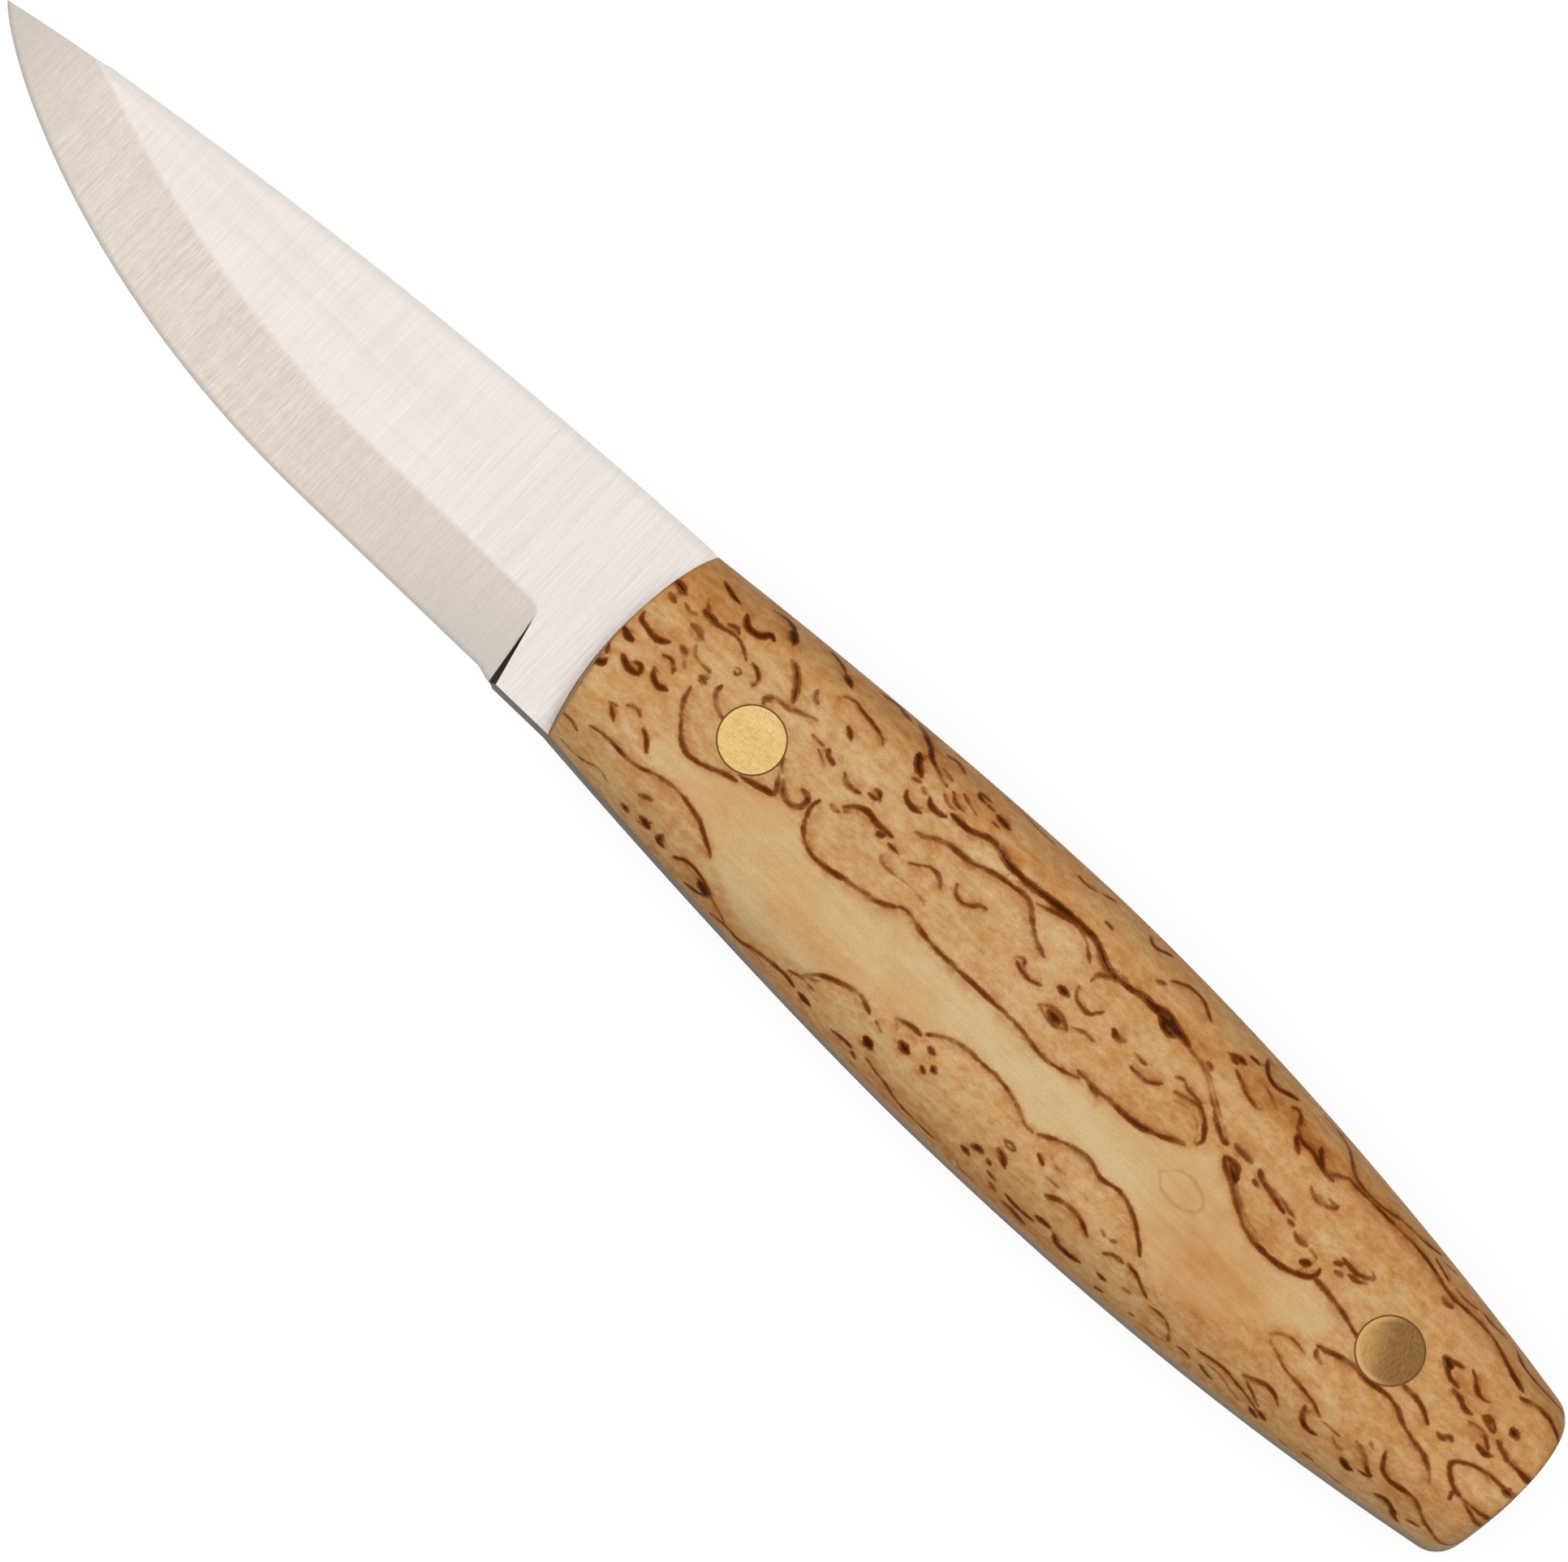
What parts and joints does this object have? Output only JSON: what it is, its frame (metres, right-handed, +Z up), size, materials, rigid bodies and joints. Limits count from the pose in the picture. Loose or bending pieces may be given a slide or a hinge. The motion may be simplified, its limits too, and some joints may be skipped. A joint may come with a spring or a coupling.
{
  "type": "fixed-blade knife",
  "caption": "Full-tang fixed-blade knife with a flat single-bevel grind, a gently rising belly, barrel-shaped curly birch scales and flush brass pins.",
  "frame": {"origin": "under the middle of the knife's overall length, on the flat of the right scale that it lies on", "axes": "+X from the tip to the butt, +Y to the spine, +Z up, out of the left side"},
  "size_m": [0.1836, 0.027, 0.018],
  "materials": {
    "steel": "satin, ground across the blade",
    "birch": "oiled, smooth",
    "brass": "sanded flush with the wood",
    "resin": "cured adhesive"
  },
  "bodies": {
    "root": {"blade": "steel", "left_bond": "resin", "right_bond": "resin", "left_scale": "birch", "right_scale": "birch", "front_pin_bond": "resin", "rear_pin_bond": "resin", "front_pin": "brass", "rear_pin": "brass"}
  },
  "joints": []
}
